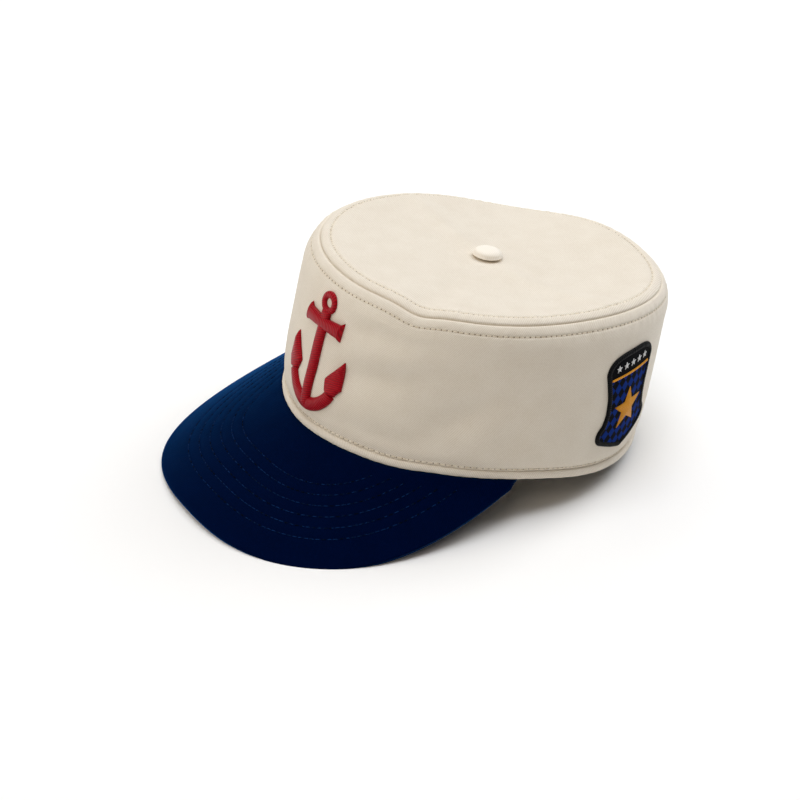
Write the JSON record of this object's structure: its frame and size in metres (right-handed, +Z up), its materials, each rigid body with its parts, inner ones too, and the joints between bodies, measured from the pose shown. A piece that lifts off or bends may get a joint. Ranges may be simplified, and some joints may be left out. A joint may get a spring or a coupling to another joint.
{
  "type": "pillbox cap",
  "caption": "Flat-topped pillbox cap in cream twill with a stiff curved navy brim, a covered button, a raised front emblem and a side badge.",
  "frame": {"origin": "centre of the underside of the cap's box, on the surface that the cap rests on", "axes": "+Z up, -Y towards the tip of the brim, +X towards the wearer's left; the cap lies on its brim and the back of its hem, so the crown tips back a little"},
  "size_m": [0.1907, 0.2664, 0.1061],
  "materials": {
    "cream_twill": "cream cotton twill, matt, with fine diagonal ribs",
    "navy_twill": "navy cotton twill with a slight sheen, in rows of matching stitches",
    "red_embroidery": "red satin stitch with a soft gloss, raised over padding",
    "badge_cloth": "embroidered badge with a thick black sewn edge"
  },
  "bodies": {
    "root": {"side_wall": "cream_twill", "top_panel": "cream_twill", "rolled_hem": "cream_twill", "top_button": "cream_twill", "brim": "navy_twill", "front_emblem": "red_embroidery", "side_badge": "badge_cloth"}
  },
  "joints": []
}
